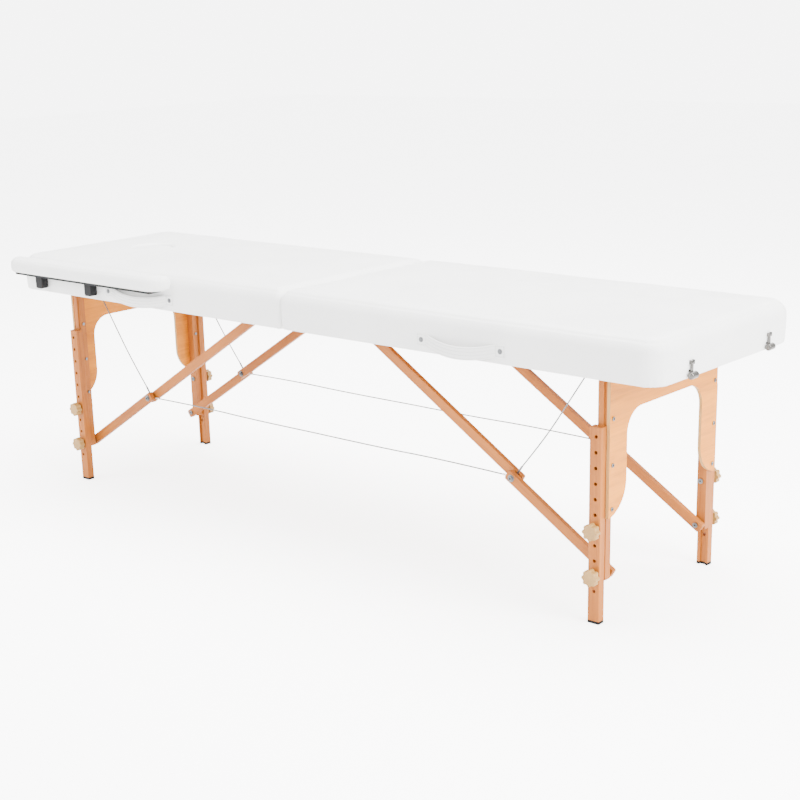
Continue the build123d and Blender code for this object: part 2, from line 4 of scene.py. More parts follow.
import bmesh
import bpy
import numpy as np
from mathutils import Matrix, Vector, noise

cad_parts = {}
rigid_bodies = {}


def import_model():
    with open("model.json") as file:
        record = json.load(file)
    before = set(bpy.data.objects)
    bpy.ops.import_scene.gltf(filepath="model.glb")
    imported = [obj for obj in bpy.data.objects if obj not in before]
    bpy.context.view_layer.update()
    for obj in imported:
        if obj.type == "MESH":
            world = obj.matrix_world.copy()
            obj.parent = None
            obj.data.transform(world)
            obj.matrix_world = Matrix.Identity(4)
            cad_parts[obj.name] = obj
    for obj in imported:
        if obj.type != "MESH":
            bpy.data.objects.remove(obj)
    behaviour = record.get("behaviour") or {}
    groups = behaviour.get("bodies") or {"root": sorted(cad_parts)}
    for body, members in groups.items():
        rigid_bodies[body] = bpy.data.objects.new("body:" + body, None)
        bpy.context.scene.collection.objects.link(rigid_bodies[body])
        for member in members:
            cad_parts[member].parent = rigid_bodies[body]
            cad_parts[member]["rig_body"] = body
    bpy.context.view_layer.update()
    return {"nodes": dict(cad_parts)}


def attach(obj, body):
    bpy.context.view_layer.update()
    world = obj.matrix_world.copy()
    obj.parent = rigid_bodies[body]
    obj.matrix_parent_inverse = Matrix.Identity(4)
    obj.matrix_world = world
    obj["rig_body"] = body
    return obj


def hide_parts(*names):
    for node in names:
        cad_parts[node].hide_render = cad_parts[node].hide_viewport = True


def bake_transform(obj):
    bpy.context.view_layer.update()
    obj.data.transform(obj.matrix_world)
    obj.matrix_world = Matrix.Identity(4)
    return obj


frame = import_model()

nodes = frame["nodes"]

# ------------------------------------------------------------------ shared sizes, in metres
SIDES = (("head", -1), ("foot", 1))
TOP_Z, UNDER_Z, HALF_W, HALF_L = 0.603, 0.512, 0.260, 0.975
BRACE_ANGLE = 32.3275
LEG_X = 0.818
LOWER_KNOB_Z, UPPER_KNOB_Z = 0.102, 0.198
PANEL_BOLT_Y, PANEL_BOLT_ZS = 0.194, (0.423, 0.329, 0.239)
ELBOW = (0.5817594, 0.2515041)  # x and z of a brace elbow
ANCHOR = (0.792, 0.546)  # x and z of a short cable anchor
CABLE_Y, CABLE_R = 0.1662, 0.0015  # centre plane and radius of every cable
VOXEL_TOP, VOXEL_ARM = 0.005, 0.003


# ------------------------------------------------------------------ camera
def place_camera():
    az, pitch, roll = radians(42.6918), radians(16.6367), radians(-1.8142)
    forward = Vector((-sin(az) * cos(pitch), cos(az) * cos(pitch), -sin(pitch)))
    right = Vector((cos(az), sin(az), 0))
    up = right.cross(forward)
    right_r = right * cos(roll) + up * sin(roll)
    up_r = -right * sin(roll) + up * cos(roll)
    data = bpy.data.cameras.new("Camera")
    data.lens = 68.33
    data.sensor_width = 36
    data.shift_x = 0.0494
    data.shift_y = 0.0781
    cam = bpy.data.objects.new("Camera", data)
    bpy.context.scene.collection.objects.link(cam)
    m = Matrix((right_r, up_r, -forward)).transposed().to_4x4()
    m.translation = Vector((2.3971, -2.6084, 1.1974))
    cam.matrix_world = m
    bpy.context.scene.camera = cam


place_camera()


# ------------------------------------------------------------------ materials
class Mat:
    """A small builder for procedural materials in the row's own coordinates."""

    def __init__(self, name):
        self.m = bpy.data.materials.new(name)
        self.m.use_nodes = True
        self.nt = self.m.node_tree
        self.bsdf = self.nt.nodes["Principled BSDF"]
        self.coord = self.nt.nodes.new("ShaderNodeTexCoord")

    def node(self, kind, **inputs):
        n = self.nt.nodes.new(kind)
        for key, value in inputs.items():
            n.inputs[key].default_value = value
        return n

    def link(self, a, b):
        self.nt.links.new(a, b)

    def grain_space(self, scale, turn_y=0.0):
        n = self.nt.nodes.new("ShaderNodeMapping")
        n.vector_type = "TEXTURE"
        n.inputs["Rotation"].default_value = (0, radians(turn_y), 0)
        n.inputs["Scale"].default_value = [1 / s for s in scale]
        self.link(self.coord.outputs["Object"], n.inputs["Vector"])
        return n.outputs["Vector"]

    def noise(self, vector, scale=1.0, detail=5.0, rough=0.55, distortion=0.0):
        n = self.node("ShaderNodeTexNoise", Scale=scale, Detail=detail, Distortion=distortion)
        n.inputs["Roughness"].default_value = rough
        self.link(vector, n.inputs["Vector"])
        return n.outputs["Fac"]

    def ramp(self, fac, stops):
        n = self.nt.nodes.new("ShaderNodeValToRGB")
        e = n.color_ramp.elements
        while len(e) < len(stops):
            e.new(0.5)
        for el, (at, colour) in zip(e, stops):
            el.position = at
            el.color = (*colour, 1)
        self.link(fac, n.inputs["Fac"])
        return n.outputs["Color"]

    def spread(self, fac, low, high):
        n = self.node("ShaderNodeMapRange")
        n.inputs["To Min"].default_value = low
        n.inputs["To Max"].default_value = high
        self.link(fac, n.inputs["Value"])
        return n.outputs["Result"]

    def mix(self, fac, a, b, mode="MIX"):
        n = self.nt.nodes.new("ShaderNodeMix")
        n.data_type = "RGBA"
        n.blend_type = mode
        if isinstance(fac, float):
            n.inputs["Factor"].default_value = fac
        else:
            self.link(fac, n.inputs["Factor"])
        self.link(a, n.inputs["A"])
        self.link(b, n.inputs["B"])
        return n.outputs["Result"]

    def bump(self, height, strength, distance):
        n = self.node("ShaderNodeBump", Strength=strength, Distance=distance)
        self.link(height, n.inputs["Height"])
        self.link(n.outputs["Normal"], self.bsdf.inputs["Normal"])

    def finish(self, colour=None, rough=None, metallic=0.0, coat=0.0):
        if colour is not None:
            self.link(colour, self.bsdf.inputs["Base Color"])
        if rough is not None:
            self.link(rough, self.bsdf.inputs["Roughness"])
        self.bsdf.inputs["Metallic"].default_value = metallic
        if coat:
            self.bsdf.inputs["Coat Weight"].default_value = coat
            self.bsdf.inputs["Coat Roughness"].default_value = 0.25
        return self.m


def wood(name, light, dark, along, turn_y=0.0):
    """Lacquered wood whose grain runs along one axis of its (turned) frame."""
    m = Mat(name)
    scale = [3.0 if i == along else 55.0 for i in range(3)]
    broad = [1.2 if i == along else 14.0 for i in range(3)]
    fine = [14.0 if i == along else 420.0 for i in range(3)]
    g = m.noise(m.grain_space(scale, turn_y), 1.0, 6.0, 0.6, 0.8)
    b = m.noise(m.grain_space(broad, turn_y), 1.0, 3.0, 0.5, 0.4)
    f = m.noise(m.grain_space(fine, turn_y), 1.0, 3.0, 0.7)
    mid = tuple((p * 0.6 + q * 0.4) for p, q in zip(light, dark))
    c1 = m.ramp(g, [(0.30, dark), (0.48, mid), (0.66, light)])
    c2 = m.ramp(b, [(0.32, tuple(v * 0.86 for v in mid)), (0.62, light)])
    c = m.mix(0.42, c1, c2)
    pores = m.ramp(f, [(0.36, tuple(v * 0.62 for v in dark)), (0.50, light)])
    c = m.mix(0.16, c, pores)
    m.bump(f, 0.12, 0.0006)
    m.bsdf.inputs["Specular IOR Level"].default_value = 0.22
    return m.finish(c, m.spread(g, 0.38, 0.54), coat=0.03)


def plywood(name):
    """Beech plywood: grain across the table on the faces, thin plies on the edges."""
    m = Mat(name)
    g = m.noise(m.grain_space((40, 3.2, 46)), 1.0, 6.0, 0.6, 1.1)
    b = m.noise(m.grain_space((10, 1.4, 11)), 1.0, 3.0, 0.5, 0.6)
    f = m.noise(m.grain_space((300, 12, 420)), 1.0, 3.0, 0.7)
    face = m.ramp(
        g,
        [(0.28, (0.34, 0.085, 0.001)), (0.50, (0.64, 0.195, 0.002)), (0.68, (0.80, 0.270, 0.004))],
    )
    broad = m.ramp(b, [(0.3, (0.46, 0.135, 0.001)), (0.65, (0.80, 0.270, 0.004))])
    face = m.mix(0.45, face, broad)
    face = m.mix(0.14, face, m.ramp(f, [(0.36, (0.22, 0.07, 0.004)), (0.5, (0.66, 0.28, 0.012))]))
    wave = m.node("ShaderNodeTexWave", Scale=1.0, Distortion=0.8, Detail=2.0)
    wave.bands_direction = "X"
    m.link(m.grain_space((140, 4, 4)), wave.inputs["Vector"])
    plies = m.ramp(wave.outputs["Fac"], [(0.25, (0.30, 0.13, 0.03)), (0.65, (0.60, 0.36, 0.14))])
    geo = m.nt.nodes.new("ShaderNodeNewGeometry")
    split = m.nt.nodes.new("ShaderNodeSeparateXYZ")
    m.link(geo.outputs["True Normal"], split.inputs["Vector"])
    flat = m.node("ShaderNodeMath")
    flat.operation = "ABSOLUTE"
    m.link(split.outputs["X"], flat.inputs[0])
    is_face = m.node("ShaderNodeMath")
    is_face.operation = "GREATER_THAN"
    is_face.inputs[1].default_value = 0.8
    m.link(flat.outputs[0], is_face.inputs[0])
    c = m.mix(is_face.outputs[0], plies, face)
    m.bump(f, 0.12, 0.0006)
    m.bsdf.inputs["Specular IOR Level"].default_value = 0.22
    return m.finish(c, m.spread(g, 0.38, 0.54), coat=0.03)


def vinyl(name, light=(0.86, 0.86, 0.85), dark=(0.80, 0.80, 0.79)):
    m = Mat(name)
    space = m.coord.outputs["Object"]
    patch = m.noise(space, 9.0, 3.0, 0.5)
    cells = m.node("ShaderNodeTexVoronoi", Scale=620.0)
    cells.feature = "DISTANCE_TO_EDGE"
    m.link(space, cells.inputs["Vector"])
    tiny = m.noise(space, 900.0, 3.0, 0.6)
    c = m.ramp(patch, [(0.3, dark), (0.7, light)])
    # painted shade: the crease lines of the grain are coloured darker, as shade in the creases; the
    # same ramp also gives the bump height
    crease_shade = tuple(v * 0.88 for v in dark)
    crease_shade_and_relief = m.ramp(cells.outputs["Distance"], [(0.0, crease_shade), (0.12, light)])
    c = m.mix(0.22, c, crease_shade_and_relief)
    height = m.mix(0.5, crease_shade_and_relief, m.ramp(tiny, [(0.3, (0.5, 0.5, 0.5)), (0.7, (1, 1, 1))]))
    m.bump(height, 0.16, 0.0005)
    return m.finish(c, m.spread(patch, 0.40, 0.52))


def metal(name, light, dark, rough=(0.24, 0.40), stretch=(500, 500, 60)):
    m = Mat(name)
    g = m.noise(m.grain_space(stretch), 1.0, 4.0, 0.6)
    w = m.noise(m.coord.outputs["Object"], 45.0, 3.0, 0.5)
    c = m.mix(0.5, m.ramp(g, [(0.3, dark), (0.7, light)]), m.ramp(w, [(0.3, dark), (0.65, light)]))
    m.bump(g, 0.06, 0.0002)
    return m.finish(c, m.spread(g, *rough), metallic=1.0)


def wire_rope(name):
    """Twisted strands around a thin cable."""
    m = Mat(name)
    wave = m.node("ShaderNodeTexWave", Scale=1.0, Distortion=0.6, Detail=1.0)
    wave.bands_direction = "DIAGONAL"
    m.link(m.grain_space((330, 330, 330)), wave.inputs["Vector"])
    # painted shade: the dark bands colour the grooves between the strands
    c = m.ramp(wave.outputs["Fac"], [(0.2, (0.09, 0.095, 0.095)), (0.7, (0.27, 0.275, 0.27))])
    m.bump(wave.outputs["Fac"], 0.4, 0.0004)
    return m.finish(c, m.spread(wave.outputs["Fac"], 0.32, 0.5), metallic=0.75)


def moulded(name, light, dark, rough=(0.34, 0.46), grain=350.0, strength=0.1):
    m = Mat(name)
    g = m.noise(m.coord.outputs["Object"], grain, 3.0, 0.6)
    w = m.noise(m.coord.outputs["Object"], 22.0, 3.0, 0.5)
    c = m.mix(0.35, m.ramp(w, [(0.3, dark), (0.7, light)]), m.ramp(g, [(0.3, dark), (0.7, light)]))
    m.bump(g, strength, 0.0003)
    if max(light) < 0.02:
        m.bsdf.inputs["Specular IOR Level"].default_value = 0.2
    return m.finish(c, m.spread(g, *rough))


BEECH_L, BEECH_D = (0.44, 0.140, 0.018), (0.18, 0.042, 0.004)
M = {
    "beech_up": wood("beech_upright", BEECH_L, BEECH_D, 2),
    "beech_x": wood("beech_lengthwise", BEECH_L, BEECH_D, 0),
    "beech_head": wood("beech_brace_head", BEECH_L, BEECH_D, 0, -BRACE_ANGLE),
    "beech_foot": wood("beech_brace_foot", BEECH_L, BEECH_D, 0, BRACE_ANGLE),
    "ply": plywood("beech_plywood"),
    "vinyl": vinyl("white_vinyl"),
    "strap": vinyl("white_strap_vinyl", (0.83, 0.83, 0.82), (0.76, 0.76, 0.75)),
    "thread": moulded("grey_thread", (0.34, 0.34, 0.34), (0.22, 0.22, 0.22), (0.6, 0.8), 900.0, 0.3),
    "foam": moulded("open_foam", (0.80, 0.76, 0.60), (0.66, 0.62, 0.47), (0.8, 0.95), 500.0, 0.5),
    "steel": metal("zinc_steel", (0.22, 0.225, 0.23), (0.11, 0.115, 0.12)),
    "crimp": metal("crimp_sleeve", (0.86, 0.86, 0.85), (0.70, 0.70, 0.70), (0.3, 0.45)),
    "nickel": metal("nickel_plate", (0.20, 0.19, 0.18), (0.07, 0.066, 0.06), (0.16, 0.30)),
    "wire": wire_rope("wire_rope"),
    "cream": moulded("cream_plastic", (0.42, 0.235, 0.065), (0.28, 0.15, 0.038)),
    "grey": moulded("dark_support", (0.016, 0.016, 0.017), (0.007, 0.007, 0.008), (0.55, 0.7)),
    # painted shade: near-black colour for the discs that stand in for the shaded hollows of bolt
    # sockets
    "socket_shade": moulded("bolt_socket_painted_shade", (0.012, 0.012, 0.013), (0.005, 0.005, 0.005), (0.5, 0.7)),
    "rubber": moulded(
        "black_rubber", (0.008, 0.008, 0.008), (0.003, 0.003, 0.003), (0.65, 0.8), 400.0, 0.35
    ),
}


# ------------------------------------------------------------------ helpers
def link(obj, body, mat, slot, *replaced):
    if obj.name not in bpy.context.scene.collection.all_objects:
        bpy.context.scene.collection.objects.link(obj)
    obj.data.materials.clear()
    obj.data.materials.append(mat)
    if body:
        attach(obj, body)
    if replaced:
        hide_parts(*replaced)
    return obj


def mesh_object(name, bm):
    me = bpy.data.meshes.new(name)
    bm.to_mesh(me)
    bm.free()
    for p in me.polygons:
        p.use_smooth = True
    return bpy.data.objects.new(name, me)


def baked(obj):
    """The object's mesh with its modifiers applied, in place."""
    if obj.name not in bpy.context.scene.collection.all_objects:
        bpy.context.scene.collection.objects.link(obj)
    bpy.context.view_layer.update()
    deps = bpy.context.evaluated_depsgraph_get()
    me = bpy.data.meshes.new_from_object(obj.evaluated_get(deps))
    obj.modifiers.clear()
    obj.data = me
    return obj


def dress(node, mat, slot, bevel=0.0012, floor_z=None):
    """A finished copy of a hard part: clean faces, eased edges and its own material."""
    src = nodes[node]
    bm = bmesh.new()
    bm.from_mesh(src.data)
    bmesh.ops.remove_doubles(bm, verts=bm.verts, dist=1e-5)
    bmesh.ops.dissolve_limit(bm, angle_limit=radians(0.6), verts=bm.verts, edges=bm.edges)
    if floor_z:
        for v in bm.verts:
            v.co.z = max(v.co.z, floor_z)
    obj = mesh_object(node + ".finished", bm)
    if bevel:
        b = obj.modifiers.new("ease", "BEVEL")
        b.width = bevel
        b.segments = 2
        b.limit_method = "ANGLE"
        b.angle_limit = radians(50)
        b.use_clamp_overlap = True
        w = obj.modifiers.new("normals", "WEIGHTED_NORMAL")
        w.keep_sharp = True
    baked(obj)
    return link(obj, src["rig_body"], mat, slot, node)


# ------------------------------------------------------------------ cables first
def control_route(points, y):
    return [Vector((x, y, z)) for x, z in points]


def nurbs(name, pts, radius):
    cu = bpy.data.curves.new(name, "CURVE")
    cu.dimensions = "3D"
    cu.resolution_u = 12
    cu.bevel_depth = radius
    cu.bevel_resolution = 4
    sp = cu.splines.new("NURBS")
    sp.points.add(len(pts) - 1)
    for p, v in zip(sp.points, pts):
        p.co = (*v, 1)
    sp.order_u = 3
    sp.use_endpoint_u = True
    obj = bpy.data.objects.new(name, cu)
    bpy.context.scene.collection.objects.link(obj)
    return obj


def centre_line(obj):
    depth = obj.data.bevel_depth
    obj.data.bevel_depth = 0
    bpy.context.view_layer.update()
    me = bpy.data.meshes.new_from_object(obj.evaluated_get(bpy.context.evaluated_depsgraph_get()))
    obj.data.bevel_depth = depth
    pts = [v.co.copy() for v in me.vertices]
    bpy.data.meshes.remove(me)
    return pts


ux, uz = ANCHOR[0] - ELBOW[0], ANCHOR[1] - ELBOW[1]
RUN = hypot(ux, uz)
ux, uz = ux / RUN, uz / RUN
FIRST, LAST = 0.0313, RUN - 0.0203  # where a cable leaves its sleeves, from the elbow outwards

for side, s in SIDES:
    for near, f in (("near", -1), ("far", 1)):
        y = f * CABLE_Y
        pts = control_route(
            [
                (s * (ELBOW[0] - FIRST), ELBOW[1]),
                (s * (ELBOW[0] - 0.2), ELBOW[1] + 0.003),
                (s * (ELBOW[0] - 0.38), ELBOW[1] - 0.001),
                (s * 0.0002, ELBOW[1]),
            ],
            y,
        )
        long_cable = nurbs(f"{side}_{near}_long_cable", pts, CABLE_R)
        line = centre_line(long_cable)
        link(long_cable, f"{side}_cables", M["wire"], "cable_steel", f"{side}_long_cables")

        pts = control_route(
            [
                (s * (ELBOW[0] + ux * FIRST), ELBOW[1] + uz * FIRST),
                (s * (ELBOW[0] + ux * 0.12 + 0.005), ELBOW[1] + uz * 0.12 - 0.004),
                (s * (ELBOW[0] + ux * 0.24 + 0.002), ELBOW[1] + uz * 0.24 - 0.002),
                (s * (ELBOW[0] + ux * LAST), ELBOW[1] + uz * LAST),
            ],
            y,
        )
        tube = nurbs(f"{side}_{near}_short_tube", pts, CABLE_R)
        line = centre_line(tube)
        bpy.context.view_layer.update()
        deps = bpy.context.evaluated_depsgraph_get()
        me = bpy.data.meshes.new_from_object(tube.evaluated_get(deps))
        bpy.data.objects.remove(tube)
        for p in me.polygons:
            p.use_smooth = True
        short = bpy.data.objects.new(f"{side}_{near}_short_cable", me)
        link(short, None, M["wire"], "cable_steel", f"{side}_short_cables")
        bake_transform(short)


# ------------------------------------------------------------------ padded pieces
def corner_box(x0, x1, y0, y1, radii, inset, arc=10):
    """A rounded rectangle, inset from its edges; radii start at x0,y0 and run anticlockwise."""
    x0, x1, y0, y1 = x0 + inset, x1 - inset, y0 + inset, y1 - inset
    out = []
    for (cx, cy, sx, sy, a0), r in zip(
        ((x0, y0, 1, 1, 180), (x1, y0, -1, 1, 270), (x1, y1, -1, -1, 0), (x0, y1, 1, -1, 90)), radii
    ):
        r = max(r - inset, 0.0015)
        for k in range(arc + 1):
            a = radians(a0 + 90 * k / arc)
            out.append((cx + sx * r + r * cos(a), cy + sy * r + r * sin(a)))
    return out


def prism(bm, outline, z0, z1, flip=False):
    low = [bm.verts.new((x, y, z0)) for x, y in outline]
    high = [bm.verts.new((x, y, z1)) for x, y in outline]
    n = len(outline)
    for i in range(n):
        quad = (low[i], low[(i + 1) % n], high[(i + 1) % n], high[i])
        bm.faces.new(quad[::-1] if flip else quad)
    return low, high


def pad_solid(name, box, radii, z0, z1, voxel, pocket=None, hole=None):
    """A closed block with the pad's plan, cut to an even mesh of small faces."""
    bm = bmesh.new()
    low, high = prism(bm, corner_box(*box, radii, 0.0), z0, z1)
    bm.faces.new(high)
    if pocket:
        pocket_plan = corner_box(*pocket["box"], pocket["radii"], 0.0)
        inner, roof = prism(bm, pocket_plan, z0, pocket["top"], True)
        bm.faces.new(roof[::-1])
        edges = [
            bm.edges.get((a, b)) for ring in (low, inner) for a, b in zip(ring, ring[1:] + ring[:1])
        ]
        bmesh.ops.triangle_fill(bm, use_beauty=True, edges=edges)
    else:
        bm.faces.new(low[::-1])
    bmesh.ops.recalc_face_normals(bm, faces=bm.faces)
    obj = mesh_object(name, bm)
    if hole:
        hb = bmesh.new()
        bmesh.ops.create_cone(
            hb, cap_ends=True, segments=96, radius1=hole[2], radius2=hole[2], depth=0.3
        )
        bmesh.ops.translate(hb, verts=hb.verts, vec=(hole[0], hole[1], z1))
        cutter = mesh_object(name + "_cut", hb)
        bpy.context.scene.collection.objects.link(cutter)
        b = obj.modifiers.new("hole", "BOOLEAN")
        b.operation = "DIFFERENCE"
        b.solver = "EXACT"
        b.object = cutter
        baked(obj)
        bpy.data.objects.remove(cutter)
    r = obj.modifiers.new("even", "REMESH")
    r.mode = "VOXEL"
    r.voxel_size = voxel
    return baked(obj)


def inset_field(p, box, radii):
    """Distance inside the rounded outline and the outward direction, for each point."""
    x0, x1, y0, y1 = box
    cx, cy, hx, hy = (x0 + x1) / 2, (y0 + y1) / 2, (x1 - x0) / 2, (y1 - y0) / 2
    qx, qy = p[:, 0] - cx, p[:, 1] - cy
    r = np.where(qx < 0, np.where(qy < 0, radii[0], radii[3]), np.where(qy < 0, radii[1], radii[2]))
    ax, ay = np.abs(qx) - (hx - r), np.abs(qy) - (hy - r)
    corner = (ax > 0) & (ay > 0)
    length = np.hypot(np.maximum(ax, 1e-9), np.maximum(ay, 1e-9))
    d = r - np.where(corner, length, np.maximum(ax, ay))
    nx = np.where(corner, np.maximum(ax, 0) / length, (ax >= ay).astype(float)) * np.sign(qx)
    ny = np.where(corner, np.maximum(ay, 0) / length, (ay > ax).astype(float)) * np.sign(qy)
    return d, nx, ny, corner


def smooth(t):
    t = np.clip(t, 0, 1)
    return t * t * (3 - 2 * t)


def soften(obj, box, radii, z0, z1, top_round, crown, belly, seed, hole=None, low_round=0.006):
    """Rounds the pad's edges, crowns its top and adds the slack of upholstery over foam."""
    me = obj.data
    co = np.empty(len(me.vertices) * 3)
    me.vertices.foreach_get("co", co)
    p = co.reshape(-1, 3)
    d, nx, ny, corner = inset_field(p, box, radii)
    outer = d < 0.0125
    for edge_z, r, sign in ((z1, top_round, -1), (z0, low_round, 1)):
        t = (p[:, 2] - edge_z) * sign
        a, b = r - d, r - t
        hit = (a > 0) & (b > 0) & (d < r)
        m = np.maximum(a, b) / np.maximum(np.hypot(a, b), 1e-9)
        shift = np.where(hit, a * (1 - m), 0)
        p[:, 0] -= nx * shift
        p[:, 1] -= ny * shift
        p[:, 2] += np.where(hit, b * (1 - m) * sign, 0)
    depth = smooth((z1 - p[:, 2]) / 0.03)
    top = smooth((p[:, 2] - (z1 - 0.022)) / 0.02)
    wander = np.array([noise.noise(Vector((v[0] * 7 + seed, v[1] * 7, v[2] * 7))) for v in p])
    ripple = np.array([noise.noise(Vector((v[0] * 26, v[1] * 26 + seed, v[2] * 14))) for v in p])
    p[:, 2] += top * (crown * smooth(d / 0.16) + 0.0012 * wander + 0.0004 * ripple)
    side = np.where(outer, smooth((z1 - p[:, 2]) / 0.02) * smooth((p[:, 2] - z0) / 0.012), 0)
    tall = np.clip((p[:, 2] - z0) / (z1 - z0), 0, 1)
    out = side * (belly * np.sin(pi * tall) + 0.0009 * wander + 0.0005 * ripple)
    angle = np.arctan2(ny, nx)
    near_hem = smooth((0.035 - (p[:, 2] - z0)) / 0.03)
    pleat = np.where(corner & outer, np.cos(angle * 22 + seed) * near_hem, 0)
    out += 0.0005 * pleat
    p[:, 0] += nx * out
    p[:, 1] += ny * out
    if hole:
        rx, ry = p[:, 0] - hole[0], p[:, 1] - hole[1]
        rr = np.hypot(rx, ry)
        lip = smooth((hole[2] + 0.012 - rr) / 0.012) * top
        p[:, 2] -= 0.0045 * lip**2
        snap = rr < hole[2] + 0.004
        k = np.where(snap, hole[2] / np.maximum(rr, 1e-6), 1)
        p[:, 0] = hole[0] + rx * k
        p[:, 1] = hole[1] + ry * k
    me.vertices.foreach_set("co", p.reshape(-1))
    me.update()
    for q in me.polygons:
        q.use_smooth = True
    return obj


HOLE = (-0.735, 0.0, 0.055)
for side, s in SIDES:
    ends = sorted((s * 0.0015, s * HALF_L))
    box = (ends[0], ends[1], -HALF_W, HALF_W)
    outer_r, mid_r = 0.045, 0.012
    radii = (mid_r, outer_r, outer_r, mid_r) if s > 0 else (outer_r, mid_r, mid_r, outer_r)
    inner = sorted((s * 0.024, s * 0.955))
    pocket = {
        "box": (inner[0], inner[1], -0.2475, 0.2475),
        "radii": [0.03 if r > 0.02 else 0.002 for r in radii],
        "top": 0.561,
    }
    hole = HOLE if s < 0 else None
    pad = pad_solid(f"{side}_padded_top", box, radii, UNDER_Z, TOP_Z, VOXEL_TOP, pocket, hole)
    soften(pad, box, radii, UNDER_Z, TOP_Z, 0.029, 0.006, 0.0025, 3.7 * s, hole, 0.003)
    link(pad, f"{side}_section", M["vinyl"], "vinyl", f"{side}_cover", f"{side}_foam")

# plug of the face hole: a shallow domed disc with a soft rim
PLUG_R, PLUG_RIM, PLUG_SHOULDER_Z, PLUG_DOME = 0.0544, 0.008, 0.5955, 0.0028
AROUND = 72  # points round the plug
bm = bmesh.new()
profile = [(0.0, 0.5585), (0.052, 0.5585), (PLUG_R, 0.561), (PLUG_R, PLUG_SHOULDER_Z)]
profile += [
    (PLUG_R - PLUG_RIM * (1 - cos(radians(a))), PLUG_SHOULDER_Z + PLUG_RIM * sin(radians(a)))
    for a in range(15, 91, 15)
]
profile += [
    (r, 0.6035 + PLUG_DOME * (1 - (r / 0.046) ** 2)) for r in (0.040, 0.032, 0.022, 0.012, 0.0)
]
rings = []
for r, z in profile:
    if r == 0:
        rings.append([bm.verts.new((HOLE[0], HOLE[1], z))])
    else:
        angles = [2 * pi * k / AROUND for k in range(AROUND)]
        rings.append([bm.verts.new((HOLE[0] + r * cos(a), r * sin(a), z)) for a in angles])
for a, b in zip(rings, rings[1:]):
    for k in range(AROUND):
        j = (k + 1) % AROUND
        if len(a) == 1:
            bm.faces.new((a[0], b[j], b[k]))
        elif len(b) == 1:
            bm.faces.new((a[k], a[j], b[0]))
        else:
            bm.faces.new((a[k], a[j], b[j], b[k]))
bmesh.ops.recalc_face_normals(bm, faces=bm.faces)
plug = mesh_object("face_plug_pad", bm)
link(plug, "face_plug_body", M["vinyl"], "vinyl", "face_hole_plug")

# side armrest pad
ARM_LOW, ARM_HIGH = 0.566, 0.602
arm_box = (-0.962, -0.366, -0.3148, -0.2608)
arm_radii = (0.042, 0.042, 0.005, 0.005)
arm = pad_solid("armrest_cushion", arm_box, arm_radii, ARM_LOW, ARM_HIGH, VOXEL_ARM)
soften(arm, arm_box, arm_radii, ARM_LOW, ARM_HIGH, 0.014, 0.0015, 0.001, 9.1, None, 0.008)
link(arm, "armrest_body", M["vinyl"], "vinyl", "armrest_pad")


# ------------------------------------------------------------------ carry handles
def strap_handle(side, s, x_in, x_out):
    """A flat vinyl strap with four rows of stitching and a stitched patch at each end."""
    y0, z0, bow, sag, half = -0.2617, 0.541, 0.015, 0.013, 0.0135
    xa, xb = sorted((s * (x_in + 0.011), s * (x_out - 0.011)))
    mid, reach = (xa + xb) / 2, (xb - xa) / 2

    def centre(x):
        t = (x - mid) / reach
        rise = 1 - min(1, t * t)
        return y0 - bow * rise, z0 - sag * rise

    bm = bmesh.new()
    profile = [
        (-half, 0.0005), (-half + 0.001, 0.0013), (-0.006, 0.0017), (0.006, 0.0017),
        (half - 0.001, 0.0013), (half, 0.0005), (half, -0.0005), (half - 0.001, -0.0013),
        (-half + 0.001, -0.0013), (-half, -0.0005),
    ]
    count = 48
    rows = []
    for k in range(count + 1):
        x = xa - 0.018 + (xb - xa + 0.036) * k / count
        y, z = centre(min(max(x, xa), xb))
        rows.append([bm.verts.new((x, y - t, z + w)) for w, t in profile])
    n = len(profile)
    for a, b in zip(rows, rows[1:]):
        for k in range(n):
            bm.faces.new((a[k], a[(k + 1) % n], b[(k + 1) % n], b[k]))
    bm.faces.new(rows[0][::-1])
    bm.faces.new(rows[-1])
    for x in (xa - 0.010, xb + 0.010):
        geo = bmesh.ops.create_cube(bm, size=1.0)["verts"]
        bmesh.ops.scale(bm, verts=geo, vec=(0.023, 0.0016, 0.026))
        bmesh.ops.translate(bm, verts=geo, vec=(x, y0 - 0.0016, z0))
    bmesh.ops.recalc_face_normals(bm, faces=bm.faces)
    strap = mesh_object(f"{side}_carry_strap", bm)
    b = strap.modifiers.new("ease", "BEVEL")
    b.width = 0.0007
    b.segments = 2
    b.limit_method = "ANGLE"
    b.angle_limit = radians(50)
    baked(strap)
    link(strap, f"{side}_section", M["strap"], "vinyl", f"{side}_handle")

    bm = bmesh.new()

    def stitch(x, y, z, dx, dz):
        geo = bmesh.ops.create_icosphere(bm, subdivisions=1, radius=0.5)["verts"]
        bmesh.ops.scale(bm, verts=geo, vec=(0.0008 + dx, 0.0006, 0.0008 + dz))
        bmesh.ops.translate(bm, verts=geo, vec=(x, y, z))

    for row in (-0.0104, -0.0036, 0.0036, 0.0104):
        x = xa + 0.004
        while x < xb - 0.004:
            y, z = centre(x)
            stitch(x, y - (0.0017 if abs(row) < 0.005 else 0.0014), z + row, 0.0026, 0)
            x += 0.0040
    for x in (xa - 0.010, xb + 0.010):
        for k in range(5):
            q = -0.0090 + 0.0045 * k
            stitch(x + q, -0.2642, z0 + 0.0105, 0.0022, 0)
            stitch(x + q, -0.2642, z0 - 0.0105, 0.0022, 0)
            stitch(x - 0.0100, -0.2642, z0 + q, 0, 0.0022)
            stitch(x + 0.0100, -0.2642, z0 + q, 0, 0.0022)
    thread = mesh_object(f"{side}_carry_strap_stitching", bm)
    link(thread, f"{side}_section", M["thread"], "vinyl")


strap_handle("head", -1, 0.372, 0.603)
strap_handle("foot", 1, 0.415, 0.618)

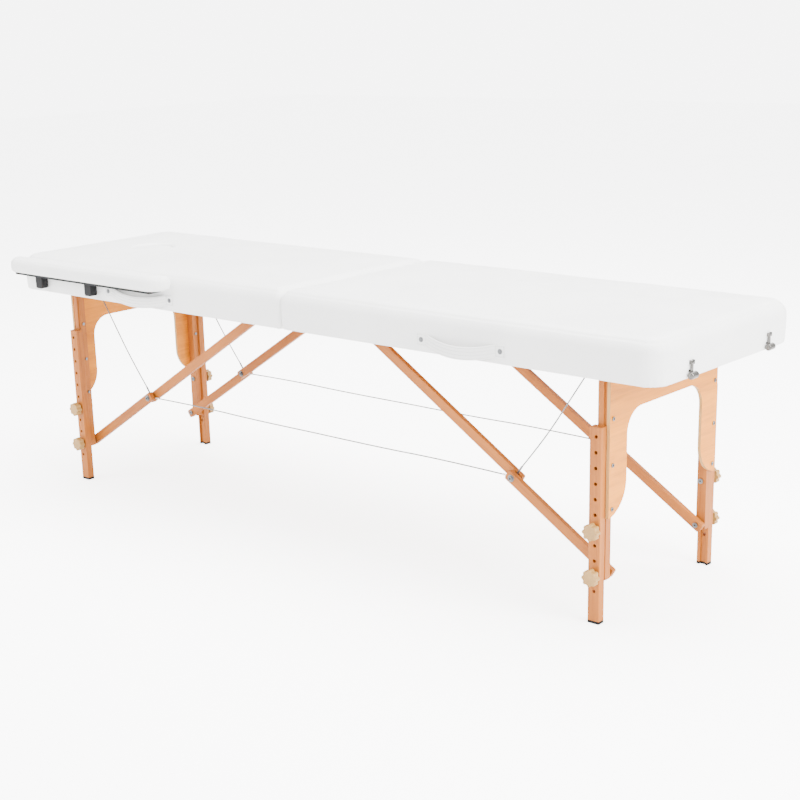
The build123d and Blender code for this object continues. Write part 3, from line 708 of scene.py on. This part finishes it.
# ------------------------------------------------------------------ hard parts
STEEL_PARTS = (
    "section_fittings", "hinge_leaves", "leg_bolts", "elbow_bolts_inner", "elbow_bolts_outer"
)
for side, s in SIDES:
    dress(f"{side}_posts", M["beech_up"], "beech", 0.0015)
    dress(f"{side}_arch_panel", M["ply"], "plywood", 0.0012)
    for kind in ("upper", "lower"):
        dress(f"{side}_{kind}_struts", M[f"beech_{side}"], "beech", 0.0016)
    dress(f"{side}_frame_rails", M["beech_x"], "beech", 0.0, 0.5165)
    dress(f"{side}_pivot_blocks", M["beech_x"], "beech", 0.001)
    dress(f"{side}_deck", M["ply"], "plywood", 0.0)
    for near in ("near", "far"):
        dress(f"{side}_{near}_extension", M["beech_up"], "beech", 0.0011)
        dress(f"{side}_{near}_rubber_foot", M["rubber"], "black_rubber", 0.0006)
        for level in ("lower", "upper"):
            dress(f"{side}_{near}_{level}_knob", M["cream"], "knob_plastic", 0.0006)
    for part in STEEL_PARTS:
        dress(f"{side}_{part}", M["steel"], "steel", 0.0003)
    dress(f"{side}_long_cable_ends", M["crimp"], "steel", 0.0002)
dress("armrest_frame", M["grey"], "support_plastic", 0.001)
dress("fold_pins", M["steel"], "steel", 0.0003)
for part in ("latch_bases", "near_latch_lever", "far_latch_lever", "latch_catches"):
    dress(part, M["nickel"], "nickel", 0.0004)


def socket_shade_discs(name, body, spots, radius=0.0022):
    """Near-black hexagon discs on the faces of bolt heads: painted shade standing in for the shaded
    hollow of each hex socket; each spot is a point and an outward axis.
    """
    bm = bmesh.new()
    for point, axis in spots:
        turn = Vector((0, 0, 1)).rotation_difference(Vector(axis)).to_matrix().to_4x4()
        turn.translation = Vector(point)
        bmesh.ops.create_cone(
            bm, cap_ends=True, segments=6,
            radius1=radius, radius2=radius * 0.96, depth=0.0005, matrix=turn,
        )
    obj = mesh_object(name, bm)
    for p in obj.data.polygons:
        p.use_smooth = False
    link(obj, body, M["socket_shade"], "steel")


# painted shade on the bolt heads: dark discs where the hex socket hollows would fall in shade
for side, s in SIDES:
    spots = [((s * 0.8406, f * PANEL_BOLT_Y, z), (s, 0, 0)) for f in (-1, 1) for z in PANEL_BOLT_ZS]
    spots += [((s * LEG_X, f * 0.1652, LOWER_KNOB_Z), (0, -f, 0)) for f in (-1, 1)]
    spots += [((s * LEG_X, f * 0.1818, UPPER_KNOB_Z), (0, -f, 0)) for f in (-1, 1)]
    socket_shade_discs(f"{side}_leg_socket_shade_discs", f"{side}_legs", spots)
    outer = [((s * ELBOW[0], f * 0.1845, ELBOW[1]), (0, f, 0)) for f in (-1, 1)]
    socket_shade_discs(f"{side}_elbow_socket_shade_discs_outer", f"{side}_lower_braces", outer, 0.0026)
    inner = [((s * ELBOW[0], f * 0.1475, ELBOW[1]), (0, -f, 0)) for f in (-1, 1)]
    socket_shade_discs(f"{side}_elbow_socket_shade_discs_inner", f"{side}_upper_braces", inner, 0.0026)


# ------------------------------------------------------------------ studio
FLOOR_LIFT = 4.2  # how much brighter the paper looks to the camera than it lights the table
SKY_LIGHT, SKY_SEEN = 2.3, 6.6


def studio():
    bm = bmesh.new()
    bmesh.ops.create_grid(bm, x_segments=2, y_segments=2, size=14)
    floor = mesh_object("studio_floor", bm)
    bpy.context.scene.collection.objects.link(floor)
    m = Mat("studio_paper")
    g = m.noise(m.coord.outputs["Object"], 1.3, 3.0, 0.5)
    paper = m.ramp(g, [(0.3, (0.90, 0.90, 0.90)), (0.7, (0.93, 0.93, 0.93))])
    floor.data.materials.append(m.finish(paper, m.spread(g, 0.8, 0.9)))
    seen = m.nt.nodes.new("ShaderNodeLightPath")
    m.bsdf.inputs["Emission Color"].default_value = (1, 1, 1, 1)
    lift = m.node("ShaderNodeMath")
    lift.operation = "MULTIPLY"
    lift.inputs[1].default_value = FLOOR_LIFT
    m.link(seen.outputs["Is Camera Ray"], lift.inputs[0])
    m.link(lift.outputs[0], m.bsdf.inputs["Emission Strength"])
    world = bpy.data.worlds.new("studio")
    bpy.context.scene.world = world
    world.use_nodes = True
    world.node_tree.nodes["Background"].inputs["Color"].default_value = (1, 1, 1, 1)
    nt = world.node_tree
    seen = nt.nodes.new("ShaderNodeLightPath")
    level = nt.nodes.new("ShaderNodeMapRange")
    level.inputs["To Min"].default_value = SKY_LIGHT
    level.inputs["To Max"].default_value = SKY_SEEN
    nt.links.new(seen.outputs["Is Camera Ray"], level.inputs["Value"])
    nt.links.new(level.outputs["Result"], nt.nodes["Background"].inputs["Strength"])

    def area(name, at, aim, size, power):
        data = bpy.data.lights.new(name, "AREA")
        data.shape = "RECTANGLE"
        data.size, data.size_y = size
        data.energy = power
        obj = bpy.data.objects.new(name, data)
        bpy.context.scene.collection.objects.link(obj)
        obj.location = at
        obj.rotation_euler = (Vector(aim) - Vector(at)).to_track_quat("-Z", "Y").to_euler()

    area("key", (3.4, -0.2, 2.2), (0.2, 0, 0.35), (2.0, 2.0), 300)
    area("fill", (-2.2, -3.2, 2.0), (0, 0, 0.4), (2.4, 1.8), 150)
    area("top", (0, 0.6, 3.6), (0, 0, 0.5), (4.2, 3.0), 520)


studio()
